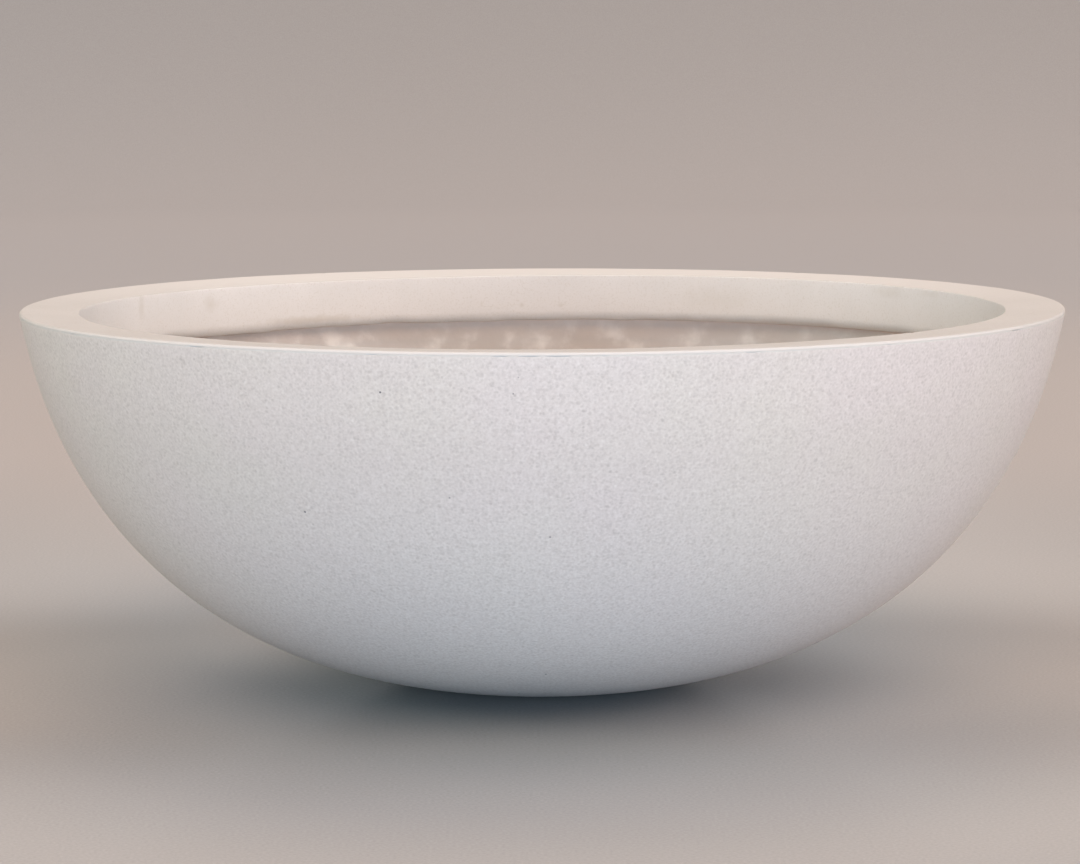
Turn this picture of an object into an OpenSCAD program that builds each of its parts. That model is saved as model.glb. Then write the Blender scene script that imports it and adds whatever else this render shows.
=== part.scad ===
// Bowl planter: a ground terrazzo bowl on a fibre-cement backing, with a wide cast rim,
// a cement floor that falls to a plugged drain, and four thin rubber feet.
// It stands at the origin on its feet, with the bowl's axis along +Z.

/* [Bowl] */
// Diameter over the rim, before its edge is eased
rim_d = 800; // [640:10:1000]
// Height of the bowl, from the flat under its base to the top of the rim
bowl_h = 288; // [230:1:360]
// Diameter of the flat under the base
base_d = 206; // [180:2:280]
// How far the side would swell past the rim before it stood upright
swell = 8.5; // [4:0.5:30]
// Squareness of the side's curve: 2 is an ellipse, more is boxier
curve_power = 2.4; // [2:0.05:2.8]

/* [Walls] */
// Thickness of the terrazzo facing
facing_t = 10; // [6:0.5:14]
// Thickness of the fibre-cement backing
backing_t = 8; // [5:0.5:12]

/* [Rim] */
// Width of the top of the rim
rim_w = 46; // [38:1:80]
// Fall of the top of the rim towards the inside, in degrees
rim_fall = 3; // [0:0.5:4]
// Height of the smooth band on the inside of the rim
band_h = 39; // [28:1:60]
// Thickness of the rim's lip at the outside, where it covers the tops of the two shells
cap_t = 2.5; // [2:0.25:6]
// Thickness of the mortar bed between the shells and the rim
bed_t = 0.75; // [0.5:0.25:3]
// How far the mortar bed is raked back from the outside
rake = 0.5; // [0.25:0.25:2]
// Radius of the eased edge outside the rim
outer_edge_r = 1.75; // [0.5:0.25:2]
// Radius of the eased edge inside the rim
inner_edge_r = 2; // [0.5:0.25:4]
// Radius of the edge under the band
band_edge_r = 8; // [1:0.5:12]

/* [Hoop] */
// Diameter of the steel rod that reinforces the rim
hoop_rod_d = 8; // [6:0.5:10]
// Clearance round the rod in its groove
hoop_fit = 0.2; // [0.1:0.05:0.5]

/* [Floor] */
// Thickness of the cement floor at the drain
screed_t = 10; // [8:0.5:16]
// Fall of the cement floor towards the drain, in degrees
screed_fall = 1.5; // [0.5:0.25:3]

/* [Drain] */
// Bore of the outlet under the plug
outlet_d = 24; // [16:0.5:26]
// Depth of the plug's seat below the sleeve's flange
seat_depth = 14; // [10:0.5:18]
// Wall of the sleeve round the plug's seat
sleeve_wall = 3; // [2:0.5:5]
// Diameter of the sleeve's flange
flange_d = 60; // [52:1:80]
// Thickness of the sleeve's flange
flange_t = 3; // [2:0.5:5]
// Clearance between the sleeve and the stone round it
sleeve_fit = 0.2; // [0.1:0.05:0.5]
// Lead-in chamfer at the mouth of the seat
mouth_chamfer = 1; // [0.5:0.25:1.5]

/* [Plug] */
// Diameter of the plug's stem
plug_d = 30; // [28:0.5:34]
// Radial clearance of the stem in its seat
plug_fit = 0.05; // [0.02:0.01:0.1]
// Diameter of the plug's cap
plug_cap_d = 42; // [38:1:48]
// Thickness of the plug's cap
plug_cap_t = 4; // [3:0.5:6]
// Diameter of the half-round grip on the cap
grip_d = 30; // [20:1:34]
// Thickness of the grip
grip_t = 8; // [5:0.5:10]
// Gap under the plug's cap and under its stem
rest_gap = 0.3; // [0.2:0.05:0.5]

/* [Feet] */
// Diameter of a foot pad
pad_d = 30; // [20:1:40]
// Thickness of a foot pad
pad_t = 2; // [1.5:0.25:5]
// Space between a foot pad and the edge of the base
pad_inset = 10; // [5:1:15]

/* [Hidden] */
$fn = 96;
pad_count = 4;

terrazzo = [0.84, 0.83, 0.85];
fibre_cement = [0.76, 0.70, 0.66];
cast_stone = [0.90, 0.86, 0.82];
mortar = [0.66, 0.63, 0.60];
mild_steel = [0.52, 0.52, 0.54];
cement = [0.71, 0.68, 0.64];
grey_plastic = [0.36, 0.37, 0.38];
black_rubber = [0.11, 0.11, 0.12];

// Straight steps along the side's curve, and round each eased edge
side_steps = 28;
edge_steps = 6;
// Directions of the faces that meet at an edge, in degrees
up = 90;
inward = 180;
down = 270;

rim_r = rim_d / 2;
base_r = base_d / 2;
wall_t = facing_t + backing_t;
base_z = pad_t;
rim_z = base_z + bowl_h;
cap_z = rim_z - cap_t;
shell_z = cap_z - bed_t;
band_r = rim_r - rim_w;
band_top_z = rim_z - rim_w * tan(rim_fall);
band_z = band_top_z - band_h;
floor_z = base_z + wall_t;
flange_z = floor_z + screed_t;

// The side's curve is part of a superellipse that passes through the edge of the base and the
// rim. Its widest point is belly_r from the axis, at height belly_z, above the rim.
belly_r = rim_r + swell;
rim_turn = acos(pow(rim_r / belly_r, curve_power / 2));
base_turn = acos(pow(base_r / belly_r, curve_power / 2));
function drop(turn) = pow(sin(turn), 2 / curve_power);
belly_b = bowl_h / (drop(base_turn) - drop(rim_turn));
belly_z = base_z + drop(base_turn) * belly_b;

// A point on the outside, and the unit direction that faces out of the wall there
function outside(turn) =
    [belly_r * pow(cos(turn), 2 / curve_power), belly_z - belly_b * drop(turn)];
function facing_out(turn) =
    let (power = 2 - 2 / curve_power)
    let (slope = [pow(cos(turn), power) / belly_r, -pow(sin(turn), power) / belly_b])
    slope / norm(slope);

// The side's curve moved in by a depth, from the rim down to the base, as points [radius, height]
function side(depth) = [
    for (i = [0:side_steps])
    let (turn = rim_turn + (base_turn - rim_turn) * i / side_steps)
    outside(turn) - depth * facing_out(turn)
];

// Radius of that curve at a height
function side_r(depth, z) = lookup(z, [for (p = side(depth)) [p.y, p.x]]);

// The stretch of that curve between two heights, from the top down
function side_between(depth, low, high) = concat(
    [[side_r(depth, high), high]],
    [for (p = side(depth)) if (p.y < high && p.y > low) p],
    [[side_r(depth, low), low]]
);

function reversed(points) = [for (i = [len(points) - 1:-1:0]) points[i]];

// Points round an eased edge. The faces that meet there face the directions from and to.
function eased(corner, from, to, r) =
    let (reach = r / (1 + cos(to - from)))
    let (middle = corner - reach * [cos(from) + cos(to), sin(from) + sin(to)])
    [
        for (i = [0:edge_steps])
        let (a = from + (to - from) * i / edge_steps)
        middle + r * [cos(a), sin(a)]
    ];

// How far the outside leans out at the rim, in degrees from upright
rim_side = side(0);
rim_lean = atan2(rim_side[0].x - rim_side[1].x, rim_side[0].y - rim_side[1].y);

// Hoop: its rod lies against the backing, halfway up the back of the rim
hoop_z = (cap_z + band_z) / 2;
hoop_rod_r = hoop_rod_d / 2;
groove_r = hoop_rod_r + hoop_fit;
hoop_r = side_r(wall_t, hoop_z) - groove_r / cos(rim_lean);

// Drain: the sleeve passes through the floor and both shells
plug_r = plug_d / 2;
seat_r = plug_r + plug_fit;
seat_z = flange_z - seat_depth;
tube_r = seat_r + sleeve_wall;
drain_hole_r = tube_r + sleeve_fit;
flange_r = flange_d / 2;
outlet_r = outlet_d / 2;
stem_z = seat_z + rest_gap;
plug_cap_z = flange_z + rest_gap;
plug_top_z = plug_cap_z + plug_cap_t;
plug_edge_r = 1.5;
stem_chamfer = 1.5;
// How deep the grip is rooted in the cap
grip_root = 1;

pad_r = pad_d / 2;
pad_ring_r = base_r - pad_inset - pad_r;
pad_edge = 0.5;
first_pad_angle = 45;

// One shell of the wall, between two depths, with the drain's hole in its floor
module shell(outer_depth, inner_depth) {
    outer_z = base_z + outer_depth;
    inner_z = base_z + inner_depth;
    rotate_extrude() polygon(concat(
        side_between(outer_depth, outer_z, shell_z),
        [[drain_hole_r, outer_z], [drain_hole_r, inner_z]],
        reversed(side_between(inner_depth, inner_z, shell_z))
    ));
}

// Ground terrazzo that shows outside
module facing_shell() {
    color(terrazzo) shell(0, facing_t);
}

// Rough fibre cement laid up inside the facing
module fibre_backing() {
    color(fibre_cement) shell(facing_t, wall_t);
}

// Rim, with a lip over the shells and a smooth band down the inside
module rim_collar() {
    top_edge_r = min(outer_edge_r, cap_t * 0.7);
    outline = concat(
        [[side_r(0, cap_z), cap_z]],
        eased([rim_r, rim_z], -rim_lean, up + rim_fall, top_edge_r),
        eased([band_r, band_top_z], up + rim_fall, inward, inner_edge_r),
        eased([band_r, band_z], inward, down, band_edge_r),
        reversed(side_between(wall_t, band_z, cap_z))
    );
    color(cast_stone) rotate_extrude() difference() {
        polygon(outline);
        hoop_groove();
    }
}

// Section of the groove that is open towards the backing
module hoop_groove() {
    polygon(concat(
        [for (a = [up:15:down]) [hoop_r, hoop_z] + groove_r * [cos(a), sin(a)]],
        [[rim_r, hoop_z - groove_r], [rim_r, hoop_z + groove_r]]
    ));
}

// Thin mortar bed between the tops of the shells and the rim's lip
module bedding_joint() {
    color(mortar) rotate_extrude() polygon(concat(
        side_between(rake, shell_z, cap_z),
        reversed(side_between(wall_t, shell_z, cap_z))
    ));
}

// Steel hoop inside the rim
module rim_hoop() {
    color(mild_steel) rotate_extrude() translate([hoop_r, hoop_z]) circle(r = hoop_rod_r);
}

// Cement floor that falls to the drain, with a recess for the sleeve's flange
module floor_screed() {
    rise = rim_r * tan(screed_fall);
    recess_z = flange_z - flange_t;
    high_z = flange_z + rise;
    color(cement) rotate_extrude() difference() {
        intersection() {
            polygon(concat(
                side_between(wall_t, floor_z, high_z),
                [[0, floor_z], [0, high_z]]
            ));
            polygon([[0, base_z], [rim_r, base_z], [rim_r, high_z], [0, flange_z]]);
        }
        translate([-1, base_z]) square([1 + drain_hole_r, bowl_h]);
        translate([-1, recess_z]) square([1 + flange_r + sleeve_fit, bowl_h]);
    }
}

// Flanged sleeve, with the plug's seat above the narrower outlet
module drain_sleeve() {
    color(grey_plastic) rotate_extrude() polygon([
        [outlet_r, base_z],
        [tube_r, base_z],
        [tube_r, flange_z - flange_t],
        [flange_r, flange_z - flange_t],
        [flange_r, flange_z],
        [seat_r + mouth_chamfer, flange_z],
        [seat_r, flange_z - mouth_chamfer],
        [seat_r, seat_z],
        [outlet_r, seat_z]
    ]);
}

// Rubber plug that lifts out of the sleeve by its half-round grip
module drain_plug() {
    cap_r = plug_cap_d / 2;
    grip_r = grip_d / 2;
    color(black_rubber) union() {
        rotate_extrude() polygon(concat(
            [[0, stem_z], [plug_r - stem_chamfer, stem_z], [plug_r, stem_z + stem_chamfer]],
            [[plug_r, plug_cap_z], [cap_r, plug_cap_z]],
            eased([cap_r, plug_top_z], 0, up, plug_edge_r),
            [[0, plug_top_z]]
        ));
        intersection() {
            translate([0, 0, plug_top_z]) rotate([90, 0, 0])
                cylinder(r = grip_r, h = grip_t, center = true);
            translate([-grip_r, -grip_t, plug_top_z - grip_root])
                cube([2 * grip_r, 2 * grip_t, grip_r + 2 * grip_root]);
        }
    }
}

// One of the thin pads glued under the base
module foot_pad(i) {
    color(black_rubber)
        rotate([0, 0, first_pad_angle + (i - 1) * 360 / pad_count])
        translate([pad_ring_r, 0, 0])
        rotate_extrude()
        polygon([[0, 0], [pad_r - pad_edge, 0], [pad_r, pad_edge], [pad_r, pad_t], [0, pad_t]]);
}

facing_shell();
fibre_backing();
rim_collar();
bedding_joint();
rim_hoop();
floor_screed();
drain_sleeve();
drain_plug();
for (i = [1:pad_count])
    foot_pad(i);
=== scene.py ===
"""The looks of a bowl planter: a ground terrazzo bowl with a wide cast rim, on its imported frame."""

import math

import bmesh
import bpy
import numpy as np
from mathutils import Matrix, Vector


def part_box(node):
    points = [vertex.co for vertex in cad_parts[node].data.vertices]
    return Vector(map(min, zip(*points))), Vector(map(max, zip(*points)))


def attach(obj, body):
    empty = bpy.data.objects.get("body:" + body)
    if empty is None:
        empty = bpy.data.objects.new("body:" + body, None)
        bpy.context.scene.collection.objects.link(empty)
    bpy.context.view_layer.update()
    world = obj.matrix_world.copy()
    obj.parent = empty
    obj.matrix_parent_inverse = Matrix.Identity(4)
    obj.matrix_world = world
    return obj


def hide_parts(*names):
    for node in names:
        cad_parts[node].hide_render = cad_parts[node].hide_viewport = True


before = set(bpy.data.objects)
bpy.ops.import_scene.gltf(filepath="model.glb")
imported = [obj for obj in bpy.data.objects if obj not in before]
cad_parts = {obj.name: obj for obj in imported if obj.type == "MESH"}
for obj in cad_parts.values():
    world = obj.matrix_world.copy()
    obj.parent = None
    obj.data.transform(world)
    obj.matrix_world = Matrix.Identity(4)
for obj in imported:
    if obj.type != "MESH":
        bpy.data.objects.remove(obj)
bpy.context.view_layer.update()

# Lengths are in millimetres, unless a comment says otherwise, and this turns them to metres
MM = 0.001

# Sizes that the solids have too
RIM_R = 400
BASE_R = 103
SWELL = 8.5
CURVE_POWER = 2.4
FACING_T = 10
BACKING_T = 8
RIM_W = 46
RIM_FALL = math.radians(3)
CAP_T = 2.5
OUTER_EDGE = 1.75
BAND_EDGE = 8
HOOP_FIT = 0.2
SCREED_FALL = math.radians(1.5)
FLANGE_T = 3
SEAT_R = 15.05
SEAT_DEPTH = 14
MOUTH_CHAMFER = 1
SLEEVE_WALL = 3
SLEEVE_FIT = 0.2
OUTLET_R = 12
PLUG_FIT = 0.05
PLUG_CAP_T = 4
GRIP_T = 8

# Rounding of the rim's inner edge, which is finished sharper here than in the solids
INNER_EDGE = 1

# Steps round the axis in each piece's mesh
STEPS = {
    "shell": 512,
    "rim": 1280,
    "floor": 256,
    "sleeve": 144,
    "plug": 128,
    "pad": 72,
    "studio": 128,
}


def heights(name):
    """Lowest and highest point of a CAD node."""
    low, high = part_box(name)
    return low.z / MM, high.z / MM


def radius_of(name):
    """Largest radius of a CAD node that is centred on the axis."""
    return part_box(name)[1].x / MM


base_z, shell_top = heights("facing_shell")
lip_z = heights("bedding_joint")[1]
band_z = heights("rim_collar")[0]
floor_z = heights("floor_screed")[0]
hoop_low, hoop_high = heights("rim_hoop")
flange_z = heights("drain_sleeve")[1]
flange_r = radius_of("drain_sleeve")
pad_t = heights("foot_pad_1")[1]

wall_t = FACING_T + BACKING_T
rim_z = lip_z + CAP_T
band_r = RIM_R - RIM_W
band_top = rim_z - RIM_W * math.tan(RIM_FALL)
hoop_z = (hoop_low + hoop_high) / 2
hoop_rod_r = (hoop_high - hoop_low) / 2
hoop_r = radius_of("rim_hoop") - hoop_rod_r
groove_r = hoop_rod_r + HOOP_FIT
seat_z = flange_z - SEAT_DEPTH
tube_r = SEAT_R + SLEEVE_WALL
drain_hole_r = tube_r + SLEEVE_FIT

# The side's curve is part of a superellipse, as in the solids
belly_r = RIM_R + SWELL
rim_turn = math.acos((RIM_R / belly_r) ** (CURVE_POWER / 2))
base_turn = math.acos((BASE_R / belly_r) ** (CURVE_POWER / 2))
rim_drop = math.sin(rim_turn) ** (2 / CURVE_POWER)
base_drop = math.sin(base_turn) ** (2 / CURVE_POWER)
belly_b = (rim_z - base_z) / (base_drop - rim_drop)
belly_z = base_z + base_drop * belly_b


def side(depth, steps):
    """The side's curve moved in by a depth, from the rim down, as rows of (radius, height)."""
    turn = np.linspace(rim_turn, base_turn, steps + 1)
    power = 2 / CURVE_POWER
    outside = np.stack(
        [belly_r * np.cos(turn) ** power, belly_z - belly_b * np.sin(turn) ** power], axis=1
    )
    facing = np.stack(
        [np.cos(turn) ** (2 - power) / belly_r, -np.sin(turn) ** (2 - power) / belly_b], axis=1
    )
    return outside - depth * facing / np.linalg.norm(facing, axis=1, keepdims=True)


def side_r(depth, z):
    """Radius of that curve at a height."""
    curve = side(depth, 400)[::-1]
    return float(np.interp(z, curve[:, 1], curve[:, 0]))


# Points of the curve that lie closer than this to a height where it is cut are left out
CUT_GAP = 0.3
# Points of a mesh that lie this close to a face count as part of it
NEAR = 0.5


def side_between(depth, high, low, steps):
    """The stretch of that curve between two heights, from the top down."""
    curve = side(depth, steps)
    inside = curve[(curve[:, 1] < high - CUT_GAP) & (curve[:, 1] > low + CUT_GAP)]
    return [(side_r(depth, high), high), *map(tuple, inside), (side_r(depth, low), low)]


def eased(corners, arc_steps=5):
    """An outline whose corners, given as (radius, height, rounding), are replaced by arcs."""
    outline = []
    for i, (x, z, rounding) in enumerate(corners):
        here = Vector((x, z))
        if not rounding:
            outline.append(tuple(here))
            continue
        before = (Vector(corners[i - 1][:2]) - here).normalized()
        after = (Vector(corners[(i + 1) % len(corners)][:2]) - here).normalized()
        half = before.angle(after) / 2
        middle = here + (before + after).normalized() * rounding / math.sin(half)
        start = here + before * rounding / math.tan(half) - middle
        end = here + after * rounding / math.tan(half) - middle
        turn = start.angle_signed(end)
        for step in range(arc_steps + 1):
            spoke = start.copy()
            spoke.rotate(Matrix.Rotation(-turn * step / arc_steps, 2))
            outline.append(tuple(middle + spoke))
    return outline


def divided(outline, longest):
    """A closed outline with points added, so that none of its sides is longer than that."""
    points = []
    for here, after in zip(outline, outline[1:] + outline[:1]):
        count = max(1, math.ceil(math.dist(here, after) / longest))
        points += [
            tuple(a + (b - a) * i / count for a, b in zip(here, after)) for i in range(count)
        ]
    return points


def ripples(points, size, seed, waves=28):
    """Smooth random relief from about -1 to 1, with bumps about that size. Points are in mm."""
    draw = np.random.default_rng(seed)
    direction = draw.normal(size=(waves, 3))
    direction /= np.linalg.norm(direction, axis=1, keepdims=True)
    step = direction * (2 * math.pi / size) * draw.uniform(0.6, 1.4, (waves, 1))
    phase = draw.uniform(0, 2 * math.pi, waves)
    total = sum(np.cos(points @ k + p) for k, p in zip(step, phase))
    return np.clip(total / math.sqrt(2 * waves), -1, 1)


# Points closer together than this are one, and edges bent by more than this angle look sharp
SAME_POINT = 0.001
SHARP_FROM = math.radians(40)


def spin(name, outline, steps, shape=None):
    """A mesh made by turning a closed outline of (radius, height) about the bowl's axis.

    shape moves its points before they are turned: it takes their radius, height and angle as
    arrays with a row for each angle and a column for each outline point.
    """
    outline = np.array(outline, float)
    angle = np.linspace(0, 2 * math.pi, steps, endpoint=False)[:, None]
    radius = np.repeat(outline[None, :, 0], steps, axis=0)
    height = np.repeat(outline[None, :, 1], steps, axis=0)
    if shape:
        radius, height = shape(radius, height, angle)
    points = np.stack([radius * np.cos(angle), radius * np.sin(angle), height], axis=-1) * MM
    count = len(outline)
    ring = np.arange(steps)[:, None] * count
    next_ring = np.roll(ring, -1, axis=0)
    here = np.arange(count)[None, :]
    after = np.roll(here, -1, axis=1)
    faces = np.stack([ring + here, next_ring + here, next_ring + after, ring + after], axis=-1)
    mesh = bpy.data.meshes.new(name)
    mesh.from_pydata(points.reshape(-1, 3).tolist(), [], faces.reshape(-1, 4).tolist())
    return finish_mesh(name, mesh)


def finish_mesh(name, mesh):
    """An object from a mesh, with doubled points merged, faces turned out and smooth shading."""
    work = bmesh.new()
    work.from_mesh(mesh)
    bmesh.ops.remove_doubles(work, verts=work.verts, dist=SAME_POINT * MM)
    bmesh.ops.recalc_face_normals(work, faces=work.faces)
    work.to_mesh(mesh)
    work.free()
    mesh.shade_smooth()
    mesh.set_sharp_from_angle(angle=SHARP_FROM)
    piece = bpy.data.objects.new(name, mesh)
    bpy.context.scene.collection.objects.link(piece)
    return piece


def positions(radius, height, angle):
    """Points in space, in mm, of arrays of radius and height at each angle."""
    return np.stack([radius * np.cos(angle), radius * np.sin(angle), height], axis=-1)


def smooth_step(value):
    """The value held between 0 and 1, and eased at both ends."""
    share = np.clip(value, 0, 1)
    return share * share * (3 - 2 * share)


def hollows(points, layers):
    """Depth of random hollows below a surface, in layers of (half depth, size, seed)."""
    return sum(depth * (1 - ripples(points, size, seed)) for depth, size, seed in layers)


def bumps(points, layers):
    """Height of random bumps either side of a surface, in layers of (height, size, seed)."""
    return sum(height * ripples(points, size, seed) for height, size, seed in layers)


# How the hand-made rim strays from true, as (waves round it, depth, angle of a crest in degrees)
RIM_WAVES = [(1, 0.25, 30), (2, 0.15, 20), (3, 0.1, 10)]
INNER_EDGE_WAVES = [(1, 0.75, 304), (2, 0.35, 36), (3, 0.45, 71)]
BAND_WAVES = [(1, 0.7, 331), (2, 1.2, 59)]
# The band's lower edge lies this much lower than in the solids before its waves are added
BAND_LOW = 0.6
# The waves have died away at this height down the wall
TRUE_Z = 180


def wavy(waves, angle):
    """Sum of the waves at an angle round the rim."""
    return sum(
        depth * np.cos(count * (angle - math.radians(crest))) for count, depth, crest in waves
    )


# Only the rim's highest crest reaches the height that it was set out to
rim_crest = wavy(RIM_WAVES, np.linspace(0, 2 * math.pi, 720)).max()


def out_of_true(height, angle):
    """Height of a point once the rim's own waves are added. They die away down the wall."""
    share = smooth_step((height - TRUE_Z) / (rim_z - TRUE_Z))
    return height + share * (wavy(RIM_WAVES, angle) - rim_crest)


# Grinding takes at least this much off the set-out surface, and leaves slow hollows
GRIND = 0.07
GROUND_HOLLOWS = [(0.15, 170, 11), (0.04, 45, 12)]
# They set in over this distance below the joint
HOLLOWS_SET_IN = 25


def facing_shape(radius, height, angle):
    """The facing as hand grinding leaves it. Its hollows never reach past the set-out surface."""
    hollow = hollows(positions(radius, height, angle), GROUND_HOLLOWS)
    hollow *= smooth_step((shell_top - height) / HOLLOWS_SET_IN) * (height > base_z + NEAR)
    return radius - GRIND - hollow, out_of_true(height, angle)


def make_facing():
    """The terrazzo facing, with a hole for the drain in its flat base."""
    outer = side_between(0, shell_top, base_z, steps=120)
    inner = side_between(FACING_T, shell_top, base_z + FACING_T, steps=28)
    corners = [(*outer[0], 0.15)] + [(*p, 0) for p in outer[1:]]
    corners += [(drain_hole_r, base_z, 0.5), (drain_hole_r, base_z + FACING_T, 0)]
    corners += [(*p, 0) for p in inner[::-1]]
    outline = divided(eased(corners), longest=12)
    return spin("terrazzo_facing", outline, STEPS["shell"], facing_shape)


# Heights and radii of the wall's inside, from the bottom up
inner_wall = side(wall_t, 60)[::-1, ::-1].T

# Lumps on it, as layers of (height, size, seed), and the finer grit over them
LUMPS = [(0.9, 60, 21), (0.6, 24, 22)]
GRIT_T, GRIT_SIZE, GRIT_SEED = 0.25, 11, 23


def backing_shape(radius, height, angle):
    """Lumps and hollows of fibre cement pressed on by hand, on the inside of the wall."""
    points = positions(radius, height, angle)
    lumps = sum(tall * np.abs(ripples(points, size, seed)) for tall, size, seed in LUMPS)
    lumps += GRIT_T * (1 + ripples(points, GRIT_SIZE, GRIT_SEED))
    shown = radius < np.interp(height, *inner_wall) + NEAR
    return radius - lumps * shown, out_of_true(height, angle)


def make_backing():
    """The fibre cement backing, which lines the facing down to the cement floor."""
    outer = side_between(FACING_T, shell_top, base_z + FACING_T, steps=28)
    inner = side_between(wall_t, shell_top, floor_z, steps=110)
    hole = [(drain_hole_r, base_z + FACING_T), (drain_hole_r, floor_z)]
    outline = divided(outer + hole + inner[::-1], longest=12)
    return spin("fibre_cement_backing", outline, STEPS["shell"], backing_shape)


# Small dents in the rim's edges, as (angle in degrees, width along the edge, depth)
OUTER_NICKS = [(12, 3.5, 0.5), (57, 5, 0.6), (118, 4, 0.5), (163, 3, 0.4), (201, 4, 0.5)]
OUTER_NICKS += [(236, 3, 0.35), (257, 3.5, 0.3), (281.5, 3, 0.35), (303, 4.5, 0.5), (339, 4, 0.4)]
INNER_NICKS = [(33, 5, 0.6), (84, 4, 0.5), (139, 6, 0.7), (188, 4, 0.5), (262, 5, 0.5)]
INNER_NICKS += [(318, 5, 0.6)]
# How far a dent reaches from the edge, and the share of its depth that each of two faces loses
DENT_REACH = 3
DENT_SHARE = 0.7


def angle_from(degrees, angle):
    """Angle from a place round the bowl, as a value between -pi and pi."""
    return (angle - math.radians(degrees) + math.pi) % (2 * math.pi) - math.pi


def dents(nicks, radius, height, angle, corner):
    """Depth of the nicks at points near an edge, given by its corner (radius, height)."""
    edge_r, edge_z = corner
    near = np.exp(-(((radius - edge_r) ** 2 + (height - edge_z) ** 2) / DENT_REACH**2))
    depth = np.zeros_like(angle)
    for degrees, width, deep in nicks:
        along = angle_from(degrees, angle) * edge_r
        depth = depth + deep * np.exp(-((along / (width / 2)) ** 2))
    return DENT_SHARE * near * depth


# The rim's trowelled top and its band, as layers of (depth, size, seed)
TROWEL_MARKS = [(0.08, 70, 31), (0.03, 18, 32)]
BAND_FOOT_BUMPS = [(0.9, 90, 33), (0.5, 32, 34)]
BAND_BUMPS = [(0.25, 85, 35), (0.1, 26, 36)]
# Width of the lip at the rim's outside, and how much its face is worn
LIP_W = 4
LIP_WORN = 0.27


def rim_shape(radius, height, angle):
    """The rim's trowelled top, uneven band and nicked edges."""
    points = positions(radius, height, angle)
    across = np.clip((RIM_R - radius) / RIM_W, 0, 1)
    down = np.clip((band_top - height) / (band_top - band_z), 0, 1)
    on_band = (radius < band_r + BAND_EDGE) & (height < band_top)
    outer_dent = dents(OUTER_NICKS, radius, height, angle, (RIM_R, rim_z))
    inner_dent = dents(INNER_NICKS, radius, height, angle, (band_r, band_top))
    on_top = height > lip_z + NEAR
    raised = height - hollows(points, TROWEL_MARKS) * on_top - outer_dent - inner_dent
    raised = raised + across * wavy(INNER_EDGE_WAVES, angle) * (height > hoop_z)
    lower_edge = bumps(points, BAND_FOOT_BUMPS) + wavy(BAND_WAVES, angle) - BAND_LOW
    raised = raised + on_band * down**2 * lower_edge
    worn = LIP_WORN * (radius > RIM_R - LIP_W)
    moved = radius + on_band * bumps(points, BAND_BUMPS) - worn - outer_dent + inner_dent
    return moved, out_of_true(raised, angle)


def make_rim():
    """The cast rim: its lip, top and band, and a groove for the hoop in its back."""
    # The groove is half round, from its lowest point to its highest
    groove = [
        (hoop_r + groove_r * math.cos(a), hoop_z + groove_r * math.sin(a))
        for a in np.radians(np.arange(270, 89, -20))
    ]
    wall_low = side_between(wall_t, hoop_z - groove_r, band_z, steps=28)[::-1]
    wall_high = side_between(wall_t, lip_z, hoop_z + groove_r, steps=28)[::-1]
    corners = [
        (side_r(0, lip_z), lip_z, 0.15),
        (RIM_R, rim_z, OUTER_EDGE),
        (band_r, band_top, INNER_EDGE),
        (band_r, band_z, BAND_EDGE),
    ]
    corners += [(*p, 0) for p in wall_low + groove + wall_high]
    outline = divided(eased(corners, arc_steps=6), longest=4.5)
    return spin("cast_rim", outline, STEPS["rim"], rim_shape)


# Places where the mortar is missing under the rim's lip, as (angle in degrees, length, depth)
VOIDS = [(265.9, 9, 1.4), (268.6, 12, 1.6), (271.6, 16, 1.5), (276.0, 5, 0.8), (253, 7, 1.0)]
VOIDS += [(233, 12, 1.2), (212, 6, 0.9), (291, 9, 1.0), (307, 5, 0.8), (329, 14, 1.4)]
VOIDS += [(354, 8, 1.0), (19, 11, 1.3), (48, 6, 0.9), (77, 15, 1.5), (104, 8, 1.0)]
VOIDS += [(131, 10, 1.2), (166, 13, 1.4)]
# A void has faded out at this many times half its length from its middle
VOID_END = 1.5
# Width of the bed's edge that shows in the joint, and its sand, as (height, size, seed)
JOINT_W = 2
SAND_T, SAND_SIZE, SAND_SEED = 0.02, 25, 41


def mortar_shape(radius, height, angle):
    """Mortar struck nearly flush, apart from its voids."""
    outside = radius > side_r(0, lip_z) - JOINT_W
    points = positions(radius, height, angle)
    back = GRIND + SAND_T * (1 + ripples(points, SAND_SIZE, SAND_SEED))
    for degrees, length, depth in VOIDS:
        along = np.abs(angle_from(degrees, angle)) * RIM_R
        back = back + depth * smooth_step(VOID_END - along / (length / 2))
    return radius - outside * back, out_of_true(height, angle)


def make_mortar():
    """The mortar bed that the rim is set in, over the tops of both shells."""
    outer = [(side_r(0, lip_z), lip_z), (side_r(0, shell_top), shell_top)]
    inner = [(side_r(wall_t, shell_top), shell_top), (side_r(wall_t, lip_z), lip_z)]
    outline = divided(outer + inner, longest=6)
    return spin("bedding_mortar", outline, STEPS["rim"], mortar_shape)


# Marks of the float in the cement floor, and how far from the drain they reach their full depth
FLOAT_MARKS = [(0.2, 55, 51), (0.08, 16, 52)]
MARKS_SET_IN = 12
# Width of the cove where the floor meets the wall
COVE = 3


def screed_shape(radius, height, angle):
    """The top of the cement floor, smoothed with a float."""
    marks = hollows(positions(radius, height, angle), FLOAT_MARKS)
    marks = marks * smooth_step((radius - flange_r) / MARKS_SET_IN)
    return radius, height - marks * (height > flange_z)


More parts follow.
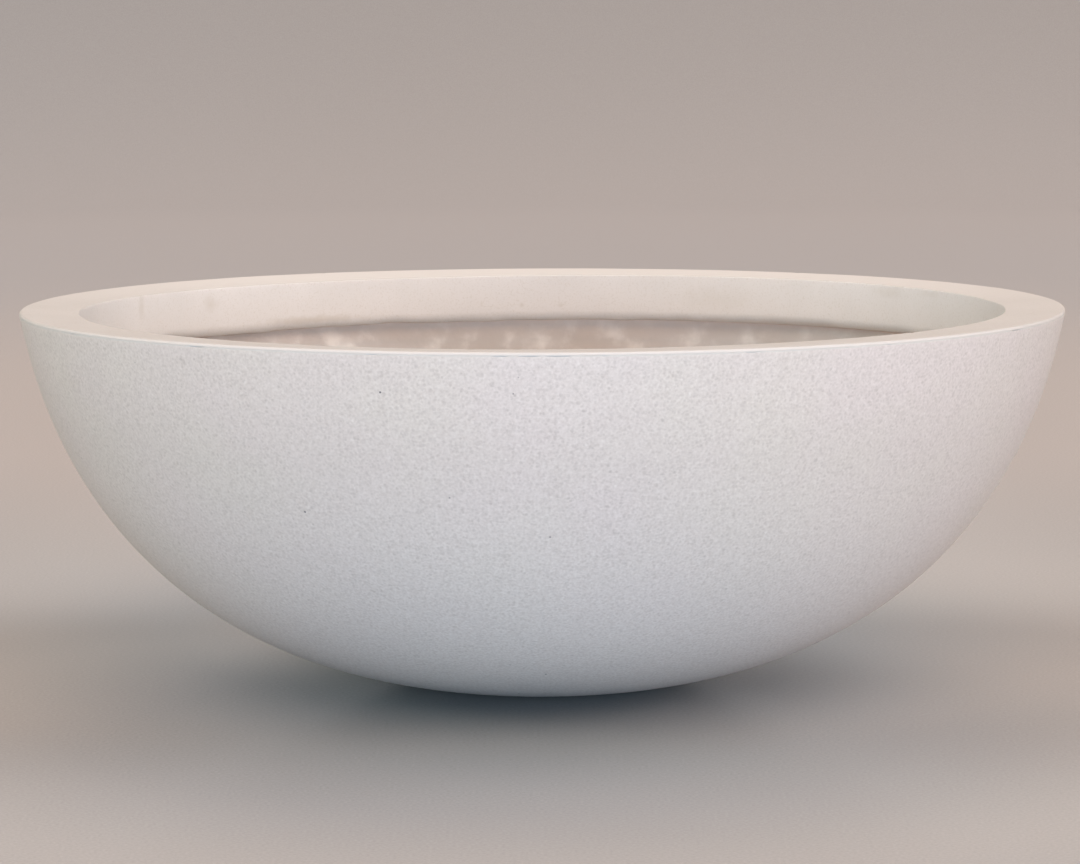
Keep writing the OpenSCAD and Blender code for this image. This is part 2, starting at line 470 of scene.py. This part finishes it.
def make_screed():
    """The cement floor, which falls to the drain and meets the wall in a small cove."""
    wall_z = flange_z + side_r(wall_t, flange_z) * math.tan(SCREED_FALL)
    wall_r = side_r(wall_t, wall_z)
    recess_r = flange_r + SLEEVE_FIT
    recess_z = flange_z - FLANGE_T
    corners = [
        (drain_hole_r, floor_z, 0),
        (drain_hole_r, recess_z, 0),
        (recess_r, recess_z, 0),
        (recess_r, flange_z + recess_r * math.tan(SCREED_FALL), 0.6),
        (wall_r - COVE, wall_z - COVE * math.tan(SCREED_FALL), 4),
        (wall_r + COVE / 2, wall_z + COVE, 0),
        (wall_r + COVE / 2, wall_z - COVE, 0),
        (side_r(wall_t, floor_z), floor_z, 0),
    ]
    outline = divided(eased(corners), longest=4)
    return spin("cement_floor", outline, STEPS["floor"], screed_shape)


def make_sleeve():
    """The moulded drain sleeve: a flange, a seat for the plug, and a narrower outlet."""
    corners = [
        (OUTLET_R, base_z, 0.5),
        (tube_r, base_z, 0.5),
        (tube_r, flange_z - FLANGE_T, 0.5),
        (flange_r, flange_z - FLANGE_T, 0.4),
        (flange_r, flange_z, 0.8),
        (SEAT_R + MOUTH_CHAMFER, flange_z, 0.3),
        (SEAT_R, flange_z - MOUTH_CHAMFER, 0.3),
        (SEAT_R, seat_z, 0.2),
        (OUTLET_R, seat_z, 0.5),
    ]
    outline = divided(eased(corners, arc_steps=3), longest=6)
    return spin("drain_sleeve_moulding", outline, STEPS["sleeve"])


def make_pad(number):
    """A die-cut pad with softly rounded edges."""
    low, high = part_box(f"foot_pad_{number}")
    middle = (low + high) / 2
    pad_r = (high.x - low.x) / 2 / MM
    corners = [(0, 0, 0), (pad_r, 0, 0.7), (pad_r, pad_t, 0.3), (0, pad_t, 0)]
    piece = spin(f"rubber_pad_{number}", eased(corners), STEPS["pad"])
    piece.data.transform(Matrix.Translation((middle.x, middle.y, 0)))
    return piece


# The plug's grip is melted into its cap at this fineness
PLUG_GRAIN = 0.5


def make_plug():
    """The moulded rubber plug: a stem, a cap and a half-round grip, with every edge softened."""
    low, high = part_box("drain_plug")
    stem_r = SEAT_R - PLUG_FIT
    stem_z = low.z / MM
    cap_r = high.x / MM
    # The cap clears the flange by as much as the stem clears its seat
    cap_z = flange_z + (stem_z - seat_z)
    cap_top = cap_z + PLUG_CAP_T
    grip_r = high.z / MM - cap_top
    corners = [
        (0, stem_z, 0),
        (stem_r, stem_z, 1.5),
        (stem_r, cap_z, 0),
        (cap_r, cap_z, 0.6),
        (cap_r, cap_top, 1.5),
        (0, cap_top, 0),
    ]
    bung = spin("plug_moulding", eased(corners), STEPS["plug"])
    grip_corners = [
        (0, -GRIP_T / 2, 0),
        (grip_r, -GRIP_T / 2, 1.6),
        (grip_r, GRIP_T / 2, 1.6),
        (0, GRIP_T / 2, 0),
    ]
    grip = spin("grip_disc", eased(grip_corners), STEPS["plug"])
    grip.data.transform(Matrix.Rotation(math.pi / 2, 4, "X"))
    grip.data.transform(Matrix.Translation((0, 0, cap_top * MM)))
    joined = bung.modifiers.new("grip", "BOOLEAN")
    joined.operation = "UNION"
    joined.object = grip
    soft = bung.modifiers.new("soft", "REMESH")
    soft.mode = "VOXEL"
    soft.voxel_size = PLUG_GRAIN * MM
    soft.use_smooth_shade = True
    rounded = bung.modifiers.new("rounded", "SMOOTH")
    rounded.factor = 0.5
    rounded.iterations = 4
    graph = bpy.context.evaluated_depsgraph_get()
    moulded = bpy.data.meshes.new_from_object(bung.evaluated_get(graph))
    bung.modifiers.clear()
    bung.data = moulded
    bpy.data.objects.remove(grip)
    return bung


def linear(colour):
    """An sRGB hex colour as the linear colour that a shader takes."""
    parts = [int(colour[i : i + 2], 16) / 255 for i in (1, 3, 5)]
    return (*[p / 12.92 if p <= 0.04045 else ((p + 0.055) / 1.055) ** 2.4 for p in parts], 1)


def per_mm(size):
    """Scale of a pattern, in object coordinates, whose grains or cells are that many mm apart."""
    return 1 / (size * MM)


def add(tree, kind, sockets, **settings):
    """Adds a node. Each socket is given a value, or the output that is linked to it."""
    made = tree.nodes.new("ShaderNode" + kind)
    for name, value in settings.items():
        setattr(made, name, value)
    for name, value in sockets.items():
        if isinstance(value, bpy.types.NodeSocket):
            tree.links.new(value, made.inputs[name])
        else:
            made.inputs[name].default_value = value
    return made


# Sockets of a colour Mix node, which share their names with others
FACTOR, COLOUR_A, COLOUR_B, MIXED = 0, 6, 7, 2


def new_material(name, **shader_values):
    """A material with its node tree, its shader, and the object's own coordinates."""
    material = bpy.data.materials.new(name)
    material.use_nodes = True
    tree = material.node_tree
    shader = tree.nodes["Principled BSDF"]
    for socket, value in shader_values.items():
        shader.inputs[socket.replace("_", " ")].default_value = value
    place = add(tree, "TexCoord", {}).outputs["Object"]
    return material, tree, shader, place


# Tones of the studio paper, which paint light and shade on it: the painted shadow in front of the
# bowl, and then each colour that follows it, with the point in metres that it spreads from, and how
# far off it sets in and is reached. The near two soften the painted shadow's edge, and the far ones
# paint a pool of light round the bowl that falls off towards the wall
PAINTED_SHADOW_PAPER = "#777b7e"
PAINTED_PAPER_TONES = [
    ("#979595", (-0.06, -0.24, 0), 0.05, 0.36),
    ("#aea8a4", (-0.03, -0.25, 0), 0.26, 0.52),
    ("#bdb4ae", (0, 0, 0), 0.8, 1.7),
    ("#b2adab", (0, 0, 0), 2.2, 4.6),
    ("#9c9d9f", (0, 0, 0), 5.9, 8.2),
]


def studio_paper():
    """Seamless studio paper: matt, with a fine tooth, and painted shadow and light round the bowl."""
    material, tree, shader, place = new_material("studio_paper", Roughness=0.9)
    # Painted shadow in front of the bowl, then painted light further out
    colour = linear(PAINTED_SHADOW_PAPER)
    for tone, centre, start, end in PAINTED_PAPER_TONES:
        away = add(tree, "VectorMath", {0: place, 1: centre}, operation="DISTANCE")
        reached = add(
            tree,
            "MapRange",
            {"Value": away.outputs["Value"], "From Min": start, "From Max": end},
            interpolation_type="SMOOTHSTEP",
        )
        colour = add(
            tree,
            "Mix",
            {FACTOR: reached.outputs["Result"], COLOUR_A: colour, COLOUR_B: linear(tone)},
            data_type="RGBA",
        ).outputs[MIXED]
    tooth = add(tree, "TexNoise", {"Vector": place, "Scale": per_mm(2.4), "Detail": 2})
    colour = add(
        tree,
        "Mix",
        {FACTOR: 0.3, COLOUR_A: colour, COLOUR_B: tooth.outputs["Fac"]},
        data_type="RGBA",
        blend_type="SOFT_LIGHT",
    ).outputs[MIXED]
    tree.links.new(colour, shader.inputs["Base Color"])
    fibre = add(tree, "TexNoise", {"Vector": place, "Scale": per_mm(30), "Detail": 4})
    bump = add(tree, "Bump", {"Height": fibre.outputs["Fac"], "Distance": 0.2 * MM, "Strength": 0.3})
    tree.links.new(bump.outputs["Normal"], shader.inputs["Normal"])
    return material


# Chips in the terrazzo, as (distance between their centres, smallest and largest radius, the
# share of those places that hold one, colour, strength)
CHIPS = [
    (2.5, 0.9, 1.6, 1.00, "#aca4a0", 0.52),
    (4.0, 1.2, 2.2, 0.60, "#b1a9a5", 0.40),
    (9.0, 0.8, 1.5, 0.30, "#948d8a", 0.50),
    (5.0, 0.7, 1.3, 0.22, "#e5e0dc", 0.45),
]
# How far a chip's edge strays from round, and the share of the strength that the faintest have
CHIP_WOBBLE = 1
FAINTEST_CHIP = 0.15
# Heights between which the painted light at the facing's foot fades out (a paler tone that lifts the
# shade on the lower wall, which faces down), between which the chips reach their strength, and
# between which the skin under the rim covers them again
FOOT_ZONE_LOW, FOOT_ZONE_HIGH = 20, 210
BELT_LOW, BELT_HIGH = 60, 250
SKIN_LOW, SKIN_HIGH = 281, 286
# Pinholes: distance between the places that may hold one, the share of them that do, and the
# radius of a pinhole at its rim and at its floor
PINHOLES_APART = 24
PINHOLE_SHARE = 0.5
PINHOLE_RIM, PINHOLE_FLOOR = 1.008, 0.48


def ground_terrazzo():
    """White cement with small pale grey marble chips, ground flush and honed matt."""
    material, tree, shader, place = new_material("ground_terrazzo", Roughness=0.55)
    # The cement is a little pinker in some places and greener in others
    cloud = add(tree, "TexNoise", {"Vector": place, "Scale": per_mm(110), "Detail": 3})
    tint = add(tree, "MapRange", {"Value": cloud.outputs["Fac"], "From Min": 0.35, "From Max": 0.65})
    colour = add(
        tree,
        "Mix",
        {FACTOR: tint.outputs["Result"], COLOUR_A: linear("#cbc4be"), COLOUR_B: linear("#ccc3c0")},
        data_type="RGBA",
    ).outputs[MIXED]
    # Painted light: the facing is painted paler towards the foot, which lifts the shade on the lower
    # wall
    height = add(tree, "SeparateXYZ", {"Vector": place}).outputs["Z"]
    painted_foot_light = add(
        tree,
        "MapRange",
        {"Value": height, "From Min": FOOT_ZONE_LOW * MM, "From Max": FOOT_ZONE_HIGH * MM},
    )
    colour = add(
        tree,
        "Mix",
        {FACTOR: painted_foot_light.outputs["Result"], COLOUR_A: linear("#e0d8d4"), COLOUR_B: colour},
        data_type="RGBA",
    ).outputs[MIXED]
    # Chips are crushed stone, so a small wobble takes the roundness off them
    wobble = add(tree, "TexNoise", {"Vector": place, "Scale": per_mm(2), "Detail": 2})
    shaken = add(
        tree,
        "VectorMath",
        {0: wobble.outputs["Color"], 1: (CHIP_WOBBLE * MM,) * 3, 2: place},
        operation="MULTIPLY_ADD",
    )
    # They show best in a broad belt. The skin under the rim and the foot of the bowl are finer
    foot = add(
        tree,
        "MapRange",
        {
            "Value": height,
            "From Min": BELT_LOW * MM,
            "From Max": BELT_HIGH * MM,
            "To Min": 0.38,
            "To Max": 0.8,
        },
    )
    skin = add(
        tree,
        "MapRange",
        {
            "Value": height,
            "From Min": SKIN_LOW * MM,
            "From Max": SKIN_HIGH * MM,
            "To Min": 1,
            "To Max": 0.35,
        },
    )
    belt = add(
        tree, "Math", {0: foot.outputs["Result"], 1: skin.outputs["Result"]}, operation="MULTIPLY"
    )
    for spacing, smallest, largest, share, tone, strength in CHIPS:
        cells = add(tree, "TexVoronoi", {"Vector": shaken.outputs[0], "Scale": per_mm(spacing)})
        chance = add(tree, "SeparateColor", {"Color": cells.outputs["Color"]})
        size = add(
            tree,
            "MapRange",
            {
                "Value": chance.outputs["Green"],
                "To Min": smallest / spacing,
                "To Max": largest / spacing,
            },
        )
        across = add(
            tree,
            "Math",
            {0: cells.outputs["Distance"], 1: size.outputs["Result"]},
            operation="DIVIDE",
        )
        chip = add(
            tree,
            "MapRange",
            {"Value": across.outputs[0], "From Min": 1.4, "From Max": 0.4},
            interpolation_type="SMOOTHSTEP",
        )
        held = add(tree, "Math", {0: chance.outputs["Red"], 1: share}, operation="LESS_THAN")
        shade = add(
            tree,
            "MapRange",
            {
                "Value": chance.outputs["Blue"],
                "To Min": FAINTEST_CHIP * strength,
                "To Max": strength,
            },
        )
        mask = belt.outputs[0]
        for part in (held.outputs[0], shade.outputs["Result"], chip.outputs["Result"]):
            mask = add(tree, "Math", {0: mask, 1: part}, operation="MULTIPLY").outputs[0]
        colour = add(
            tree,
            "Mix",
            {FACTOR: mask, COLOUR_A: colour, COLOUR_B: linear(tone)},
            data_type="RGBA",
        ).outputs[MIXED]
    # Marble dust in the cement between the chips leaves a fine grain, stronger towards the foot
    dust = add(tree, "TexNoise", {"Vector": place, "Scale": per_mm(1.9), "Detail": 2})
    dusty = add(
        tree,
        "MapRange",
        {
            "Value": height,
            "From Min": FOOT_ZONE_LOW * MM,
            "From Max": FOOT_ZONE_HIGH * MM,
            "To Min": 0.82,
            "To Max": 0.42,
        },
    )
    colour = add(
        tree,
        "Mix",
        {FACTOR: dusty.outputs["Result"], COLOUR_A: colour, COLOUR_B: dust.outputs["Fac"]},
        data_type="RGBA",
        blend_type="SOFT_LIGHT",
    ).outputs[MIXED]
    # Pinholes of about a millimetre, where air was trapped against the mould. Their dark grey is
    # painted shade in the holes
    holes = add(tree, "TexVoronoi", {"Vector": place, "Scale": per_mm(PINHOLES_APART)})
    chance = add(tree, "SeparateColor", {"Color": holes.outputs["Color"]})
    chosen = add(
        tree, "Math", {0: chance.outputs["Red"], 1: PINHOLE_SHARE}, operation="LESS_THAN"
    )
    inside = add(
        tree,
        "MapRange",
        {
            "Value": holes.outputs["Distance"],
            "From Min": PINHOLE_RIM / PINHOLES_APART,
            "From Max": PINHOLE_FLOOR / PINHOLES_APART,
        },
    )
    pinholes = add(
        tree, "Math", {0: inside.outputs["Result"], 1: chosen.outputs[0]}, operation="MULTIPLY"
    )
    colour = add(
        tree,
        "Mix",
        {FACTOR: pinholes.outputs[0], COLOUR_A: colour, COLOUR_B: linear("#676669")},
        data_type="RGBA",
    ).outputs[MIXED]
    tree.links.new(colour, shader.inputs["Base Color"])
    grain = add(tree, "TexNoise", {"Vector": place, "Scale": per_mm(1.1), "Detail": 3})
    relief = add(
        tree,
        "Math",
        {0: pinholes.outputs[0], 1: -2.0, 2: grain.outputs["Fac"]},
        operation="MULTIPLY_ADD",
    )
    bump = add(
        tree, "Bump", {"Height": relief.outputs[0], "Distance": 0.12 * MM, "Strength": 0.5}
    )
    tree.links.new(bump.outputs["Normal"], shader.inputs["Normal"])
    return material


# Stains on the rim's band, as (angle in degrees, height, reach along the rim and up it, strength)
BAND_STAINS = [
    (155.6, 277, 6, 15, 0.27),
    (140.4, 273, 10, 9, 0.28),
    (123.3, 254, 60, 4.5, 0.42),
    (92.8, 261, 3.5, 3, 0.36),
    (87.4, 261, 3.5, 3, 0.32),
    (36.2, 282, 24, 7, 0.20),
    (27.6, 284, 20, 4, 0.15),
    (66, 268, 45, 14, 0.15),
]
# Painted highlight on the rim's top along its far side: where it sets in and is full, away from
# the front, up, and outwards
FAR_HIGHLIGHT_Y = (50, 320)
FAR_HIGHLIGHT_Z = (270, 280)
FAR_HIGHLIGHT_R = (band_r + 0.5, band_r + 5)
# Radii between which the painted shade on the rim's lip and outer edge sets in
LIP_SHADE_R = (RIM_R - 2.6, RIM_R - 1.2)


def cast_stone():
    """Fine cream cast stone, trowelled smooth: nearly even, with faint clouds, old stains, and
    painted light and shade.
    """
    material, tree, shader, place = new_material(
        "trowelled_cast_stone", Roughness=0.66, Specular_IOR_Level=0.35
    )
    cloud = add(tree, "TexNoise", {"Vector": place, "Scale": per_mm(55), "Detail": 4})
    colour = add(
        tree,
        "Mix",
        {FACTOR: cloud.outputs["Fac"], COLOUR_A: linear("#cec7c1"), COLOUR_B: linear("#d8d1cc")},
        data_type="RGBA",
    ).outputs[MIXED]
    ragged = add(tree, "TexNoise", {"Vector": place, "Scale": per_mm(9), "Detail": 4})
    for degrees, z, along, up, strength in BAND_STAINS:
        turn = math.radians(degrees)
        centre = Vector((band_r * math.cos(turn), band_r * math.sin(turn), z)) * MM
        away = add(tree, "VectorMath", {0: place, 1: centre}, operation="SUBTRACT")
        turned = add(
            tree,
            "VectorRotate",
            {"Vector": away.outputs[0], "Angle": -turn},
            rotation_type="Z_AXIS",
        )
        squeezed = add(
            tree,
            "VectorMath",
            {0: turned.outputs[0], 1: (1 / (along * MM), 1 / (along * MM), 1 / (up * MM))},
            operation="MULTIPLY",
        )
        reach = add(tree, "VectorMath", {0: squeezed.outputs[0]}, operation="LENGTH")
        torn = add(
            tree,
            "Math",
            {0: ragged.outputs["Fac"], 1: 1.2, 2: reach.outputs["Value"]},
            operation="MULTIPLY_ADD",
        )
        mask = add(
            tree,
            "MapRange",
            {"Value": torn.outputs[0], "From Min": 1.7, "From Max": 0.7, "To Max": strength},
            interpolation_type="SMOOTHSTEP",
        )
        colour = add(
            tree,
            "Mix",
            {FACTOR: mask.outputs["Result"], COLOUR_A: colour, COLOUR_B: linear("#b4a797")},
            data_type="RGBA",
        ).outputs[MIXED]
    sand = add(tree, "TexNoise", {"Vector": place, "Scale": per_mm(1.5), "Detail": 2})
    speck = add(
        tree,
        "MapRange",
        {"Value": sand.outputs["Fac"], "From Min": 0.52, "From Max": 0.74, "To Max": 0.5},
    )
    colour = add(
        tree,
        "Mix",
        {FACTOR: speck.outputs["Result"], COLOUR_A: colour, COLOUR_B: linear("#c3b9ae")},
        data_type="RGBA",
    ).outputs[MIXED]
    # Painted highlight: the rim's top is painted paler along its far side
    flat = add(tree, "VectorMath", {0: place, 1: (1, 1, 0)}, operation="MULTIPLY")
    radius = add(tree, "VectorMath", {0: flat.outputs[0]}, operation="LENGTH")
    axes = add(tree, "SeparateXYZ", {"Vector": place})
    far_highlight = None
    for measure, (none, full) in (
        (axes.outputs["Y"], FAR_HIGHLIGHT_Y),
        (axes.outputs["Z"], FAR_HIGHLIGHT_Z),
        (radius.outputs["Value"], FAR_HIGHLIGHT_R),
    ):
        share = add(
            tree,
            "MapRange",
            {"Value": measure, "From Min": none * MM, "From Max": full * MM},
        ).outputs["Result"]
        if far_highlight:
            share = add(tree, "Math", {0: far_highlight, 1: share}, operation="MULTIPLY").outputs[0]
        far_highlight = share
    colour = add(
        tree,
        "Mix",
        {FACTOR: far_highlight, COLOUR_A: colour, COLOUR_B: linear("#e0d9d3")},
        data_type="RGBA",
    ).outputs[MIXED]
    # Painted shade: the lip and the rim's outer edge are painted greyer, which tones down their
    # highlight
    lip_shade = add(
        tree,
        "MapRange",
        {
            "Value": radius.outputs["Value"],
            "From Min": LIP_SHADE_R[0] * MM,
            "From Max": LIP_SHADE_R[1] * MM,
        },
    )
    colour = add(
        tree,
        "Mix",
        {FACTOR: lip_shade.outputs["Result"], COLOUR_A: colour, COLOUR_B: linear("#c7c1bc")},
        data_type="RGBA",
    ).outputs[MIXED]
    tree.links.new(colour, shader.inputs["Base Color"])
    bump = add(tree, "Bump", {"Height": sand.outputs["Fac"], "Distance": 0.1 * MM, "Strength": 0.4})
    tree.links.new(bump.outputs["Normal"], shader.inputs["Normal"])
    return material


# Heights between which the damp marks in the backing fade out and the lime bloom sets in, and how
# far down from the band the wall is painted paler, as painted light in the band's shade
DAMP_HIGH, DAMP_LOW = 220, 100
DRY_LOW, DRY_HIGH = 80, 240
UNDER_BAND_LIGHT_H = 18


def fibre_cement():
    """Fibre cement pressed on by hand: rough, warm grey, with lime bloom and rusty damp marks."""
    material, tree, shader, place = new_material("laid_up_fibre_cement", Roughness=0.88)
    broad = add(tree, "TexNoise", {"Vector": place, "Scale": per_mm(48), "Detail": 6})
    colour = add(
        tree,
        "Mix",
        {FACTOR: broad.outputs["Fac"], COLOUR_A: linear("#aba29c"), COLOUR_B: linear("#c9c6c5")},
        data_type="RGBA",
    ).outputs[MIXED]
    # Damp marks get stronger towards the bottom of the bowl
    height = add(tree, "SeparateXYZ", {"Vector": place}).outputs["Z"]
    damp = add(
        tree,
        "MapRange",
        {
            "Value": height,
            "From Min": DAMP_HIGH * MM,
            "From Max": DAMP_LOW * MM,
            "To Min": 0.12,
        },
    )
    rust = add(tree, "TexNoise", {"Vector": place, "Scale": per_mm(70), "Detail": 8})
    rusty = add(
        tree,
        "MapRange",
        {"Value": rust.outputs["Fac"], "From Min": 0.42, "From Max": 0.8, "To Max": 0.8},
        interpolation_type="SMOOTHSTEP",
    )
    marks = add(
        tree, "Math", {0: rusty.outputs["Result"], 1: damp.outputs["Result"]}, operation="MULTIPLY"
    )
    colour = add(
        tree,
        "Mix",
        {FACTOR: marks.outputs[0], COLOUR_A: colour, COLOUR_B: linear("#ad9479")},
        data_type="RGBA",
    ).outputs[MIXED]
    # Lime blooms where the wall dries first, in the upper part
    dry = add(
        tree,
        "MapRange",
        {
            "Value": height,
            "From Min": DRY_LOW * MM,
            "From Max": DRY_HIGH * MM,
            "To Min": 0.3,
            "To Max": 0.85,
        },
    )
    bloom = add(tree, "TexNoise", {"Vector": place, "Scale": per_mm(24), "Detail": 6})
    lime = add(
        tree,
        "MapRange",
        {"Value": bloom.outputs["Fac"], "From Min": 0.46, "From Max": 0.76},
        interpolation_type="SMOOTHSTEP",
    )
    limed = add(
        tree, "Math", {0: lime.outputs["Result"], 1: dry.outputs["Result"]}, operation="MULTIPLY"
    )
    colour = add(
        tree,
        "Mix",
        {FACTOR: limed.outputs[0], COLOUR_A: colour, COLOUR_B: linear("#e0ddd9")},
        data_type="RGBA",
    ).outputs[MIXED]
    # Painted light: the wall is painted paler just under the band, to lift the shade that the band's
    # overhang casts there
    under_band_light = add(
        tree,
        "MapRange",
        {
            "Value": height,
            "From Min": (band_z - UNDER_BAND_LIGHT_H) * MM,
            "From Max": band_z * MM,
            "To Max": 0.8,
        },
    )
    colour = add(
        tree,
        "Mix",
        {FACTOR: under_band_light.outputs["Result"], COLOUR_A: colour, COLOUR_B: linear("#e4cec0")},
        data_type="RGBA",
    ).outputs[MIXED]
    tree.links.new(colour, shader.inputs["Base Color"])
    grit = add(tree, "TexNoise", {"Vector": place, "Scale": per_mm(5), "Detail": 6})
    bump = add(tree, "Bump", {"Height": grit.outputs["Fac"], "Distance": 1.2 * MM, "Strength": 0.7})
    tree.links.new(bump.outputs["Normal"], shader.inputs["Normal"])
    return material


def mottled(name, tones, patch, grit, depth, **shader_values):
    """A plain mineral or moulded finish: two close tones in soft patches, over a fine grit."""
    material, tree, shader, place = new_material(name, **shader_values)
    patches = add(tree, "TexNoise", {"Vector": place, "Scale": per_mm(patch), "Detail": 5})
    tone = add(
        tree,
        "Mix",
        {FACTOR: patches.outputs["Fac"], COLOUR_A: linear(tones[0]), COLOUR_B: linear(tones[1])},
        data_type="RGBA",
    )
    tree.links.new(tone.outputs[MIXED], shader.inputs["Base Color"])
    grains = add(tree, "TexNoise", {"Vector": place, "Scale": per_mm(grit), "Detail": 3})
    bump = add(
        tree, "Bump", {"Height": grains.outputs["Fac"], "Distance": depth * MM, "Strength": 0.5}
    )
    tree.links.new(bump.outputs["Normal"], shader.inputs["Normal"])
    return material


def dress(piece, node, body, material):
    """Gives a piece its finish, hangs it on its body, and hides the node that it stands for."""
    piece.data.materials.clear()
    piece.data.materials.append(material)
    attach(piece, body)
    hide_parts(node)


# Moulded rubber: nearly black and matt, with the faint grain of its mould
rubber = mottled("moulded_rubber", ("#1f1f20", "#2a2a2b"), 18, 0.6, 0.05, Roughness=0.7)
# Lime mortar: pale, dull and sandy, a shade darker than the stone on both sides of it
mortar = mottled("lime_mortar", ("#bebab5", "#d1cdc8"), 6, 0.8, 0.3, Roughness=0.9)
# Floated cement: warm grey and dull, with broad patches where it dried unevenly
cement = mottled("floated_cement", ("#a39a8f", "#bab1a6"), 30, 1.5, 0.3, Roughness=0.85)
# Moulded grey plastic: even, with a soft sheen
plastic = mottled("moulded_grey_plastic", ("#5b5e61", "#65686b"), 25, 0.4, 0.02, Roughness=0.45)
# Rolled steel rod: dark and dull, with a little scale left on it
steel = mottled(
    "rolled_steel_rod", ("#4a4846", "#6b6763"), 8, 0.5, 0.05, Roughness=0.5, Metallic=1
)

dress(make_facing(), "facing_shell", "bowl", ground_terrazzo())
dress(make_backing(), "fibre_backing", "bowl", fibre_cement())
dress(make_rim(), "rim_collar", "bowl", cast_stone())
dress(make_mortar(), "bedding_joint", "bowl", mortar)
dress(make_screed(), "floor_screed", "bowl", cement)
dress(make_sleeve(), "drain_sleeve", "bowl", plastic)
dress(make_plug(), "drain_plug", "drain_plug", rubber)
for number in range(1, 5):
    dress(make_pad(number), f"foot_pad_{number}", "bowl", rubber)
# The hoop is sealed in the rim and keeps its solid, which only gets the finish of its steel
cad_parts["rim_hoop"].material_slots[0].material = steel


# The studio's floor, which curves up into a wall that leans out a little
FLOOR_R = 8500
FLOOR_CURVE = 2400
WALL_H = 2600
WALL_LEAN = 300
WALL_T = 100
FLOOR_T = 5


def make_studio():
    """A floor that curves up all round into a wall, so that no view meets an edge."""
    wall_r = FLOOR_R + WALL_LEAN
    corners = [
        (0, 0, 0),
        (FLOOR_R, 0, FLOOR_CURVE),
        (wall_r, WALL_H, 0),
        (wall_r + WALL_T, WALL_H, 0),
        (wall_r + WALL_T, -FLOOR_T, 0),
        (0, -FLOOR_T, 0),
    ]
    studio = spin("studio", eased(corners, arc_steps=24), STEPS["studio"])
    studio.data.materials.append(studio_paper())


def aim(thing, target):
    """Turns a lamp or camera at a place so that it looks at a target."""
    thing.rotation_euler = (Vector(target) - thing.location).to_track_quat("-Z", "Y").to_euler()


# Softboxes: place and radius in metres, watts, and colour as linear red, green and blue
SOFTBOXES = {
    "front_softbox": ((0.3, -6, 0.55), 0.8, 1080, (0.77, 1.0, 1.22)),
    "left_softbox": ((-4, 0.3, 1.4), 0.8, 165, (0.74, 1.0, 0.83)),
    "right_softbox": ((4, 0.3, 1.4), 0.8, 260, (1.24, 1.0, 0.87)),
    "back_softbox": ((0, 3.6, 0.14), 0.14, 200, (1, 1, 1)),
}
# The grid on each keeps its light off the near floor, and this much of its beam fades out
GRID_ANGLE = math.radians(26)
GRID_FADE = 0.7
# Distant lights: height and direction in degrees, width in degrees, strength, and colour
DISTANT_LIGHTS = {
    "key_light": (48, -75, 50, 1.33, (1.457, 1.0, 0.675)),
    "left_light": (42, 180, 50, 1.39, (1.06, 1.0, 1.02)),
    "right_light": (42, 0, 50, 0.985, (0.669, 1.0, 1.24)),
}
# Light that comes evenly from all round
SKY_STRENGTH = 0.12
# What the lamps are aimed at, and how far off a distant light stands, in metres
BOWL_MIDDLE = (0, 0, 0.15)
DISTANT = 5


def place_light(name, lamp, where, power, colour):
    """Puts up a lamp that shines at the middle of the bowl, and that no camera sees."""
    lamp.energy = power
    lamp.color = colour
    light = bpy.data.objects.new(name, lamp)
    light.location = where
    aim(light, BOWL_MIDDLE)
    light.visible_camera = False
    bpy.context.scene.collection.objects.link(light)


def make_lights():
    """The softboxes, the distant lights, and an even white surround."""
    for name, (where, radius, watts, colour) in SOFTBOXES.items():
        lamp = bpy.data.lights.new(name, "SPOT")
        lamp.shadow_soft_size = radius
        lamp.spot_size = GRID_ANGLE
        lamp.spot_blend = GRID_FADE
        place_light(name, lamp, where, watts, colour)
    for name, (up, turn, width, strength, colour) in DISTANT_LIGHTS.items():
        lamp = bpy.data.lights.new(name, "SUN")
        lamp.angle = math.radians(width)
        up, turn = math.radians(up), math.radians(turn)
        where = Vector((math.cos(up) * math.cos(turn), math.cos(up) * math.sin(turn), math.sin(up)))
        place_light(name, lamp, where * DISTANT, strength, colour)
    world = bpy.data.worlds.new("studio_air")
    world.use_nodes = True
    background = world.node_tree.nodes["Background"]
    background.inputs["Color"].default_value = (1, 1, 1, 1)
    background.inputs["Strength"].default_value = SKY_STRENGTH
    bpy.context.scene.world = world


# The photograph's camera: width and focal length in pixels, sensor, place in metres, and angles
PHOTO_W = 1080
FOCAL_PX = 4168.6
SENSOR_W = 36
CAMERA_PLACE = (0, -3.2, 0.5453)
CAMERA_DOWN = math.radians(6.318)
CAMERA_LEFT = math.radians(0.0348)
CAMERA_ROLL = math.radians(0.185)


def make_camera():
    """A camera at the photograph's viewpoint."""
    lens = bpy.data.cameras.new("camera")
    lens.sensor_width = SENSOR_W
    lens.lens = FOCAL_PX / PHOTO_W * SENSOR_W
    camera = bpy.data.objects.new("camera", lens)
    bpy.context.scene.collection.objects.link(camera)
    place = Matrix.Translation(CAMERA_PLACE)
    pan = Matrix.Rotation(CAMERA_LEFT, 4, "Z")
    tilt = Matrix.Rotation(math.pi / 2 - CAMERA_DOWN, 4, "X")
    roll = Matrix.Rotation(-CAMERA_ROLL, 4, "Z")
    camera.matrix_world = place @ pan @ tilt @ roll
    bpy.context.scene.camera = camera


make_studio()
make_lights()
make_camera()
bpy.context.scene.view_settings.view_transform = "Standard"
